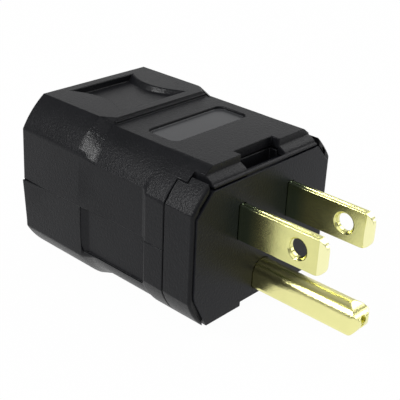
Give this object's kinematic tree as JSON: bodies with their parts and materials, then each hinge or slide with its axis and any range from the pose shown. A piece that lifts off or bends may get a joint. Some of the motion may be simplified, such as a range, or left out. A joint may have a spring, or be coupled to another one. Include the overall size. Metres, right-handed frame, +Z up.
{
  "type": "rewireable plug",
  "caption": "Rewireable straight-blade grounding plug: black screw-closed body with side straps and a thumb recess, folded brass blades and a longer folded ground pin.",
  "frame": {"origin": "middle of the mating face, halfway between the flat blades, at their middle height", "axes": "+X across the plug, +Y along it from the mating face to the cord entry, +Z up towards the thumb recess; the pins point to -Y and the ground pin is below the blades"},
  "size_m": [0.0362, 0.0648, 0.0311],
  "materials": {
    "shell": "black nylon, finely textured",
    "housing": "black nylon, finely textured",
    "face": "black nylon, finely textured",
    "brass": "bright pale brass",
    "brass_screw": "plain brass",
    "green_screw": "green dyed zinc",
    "steel": "bright zinc"
  },
  "bodies": {
    "root": {"top_shell": "shell", "bottom_shell": "shell", "front_housing": "housing", "face_plate": "face", "hot_blade": "brass", "neutral_blade": "brass", "ground_pin": "brass", "hot_terminal_screw": "brass_screw", "neutral_terminal_screw": "steel", "ground_terminal_screw": "green_screw", "hot_clamp_plate": "steel", "neutral_clamp_plate": "steel", "ground_clamp_plate": "steel", "assembly_screws": "steel", "assembly_nuts": "steel"}
  },
  "joints": []
}
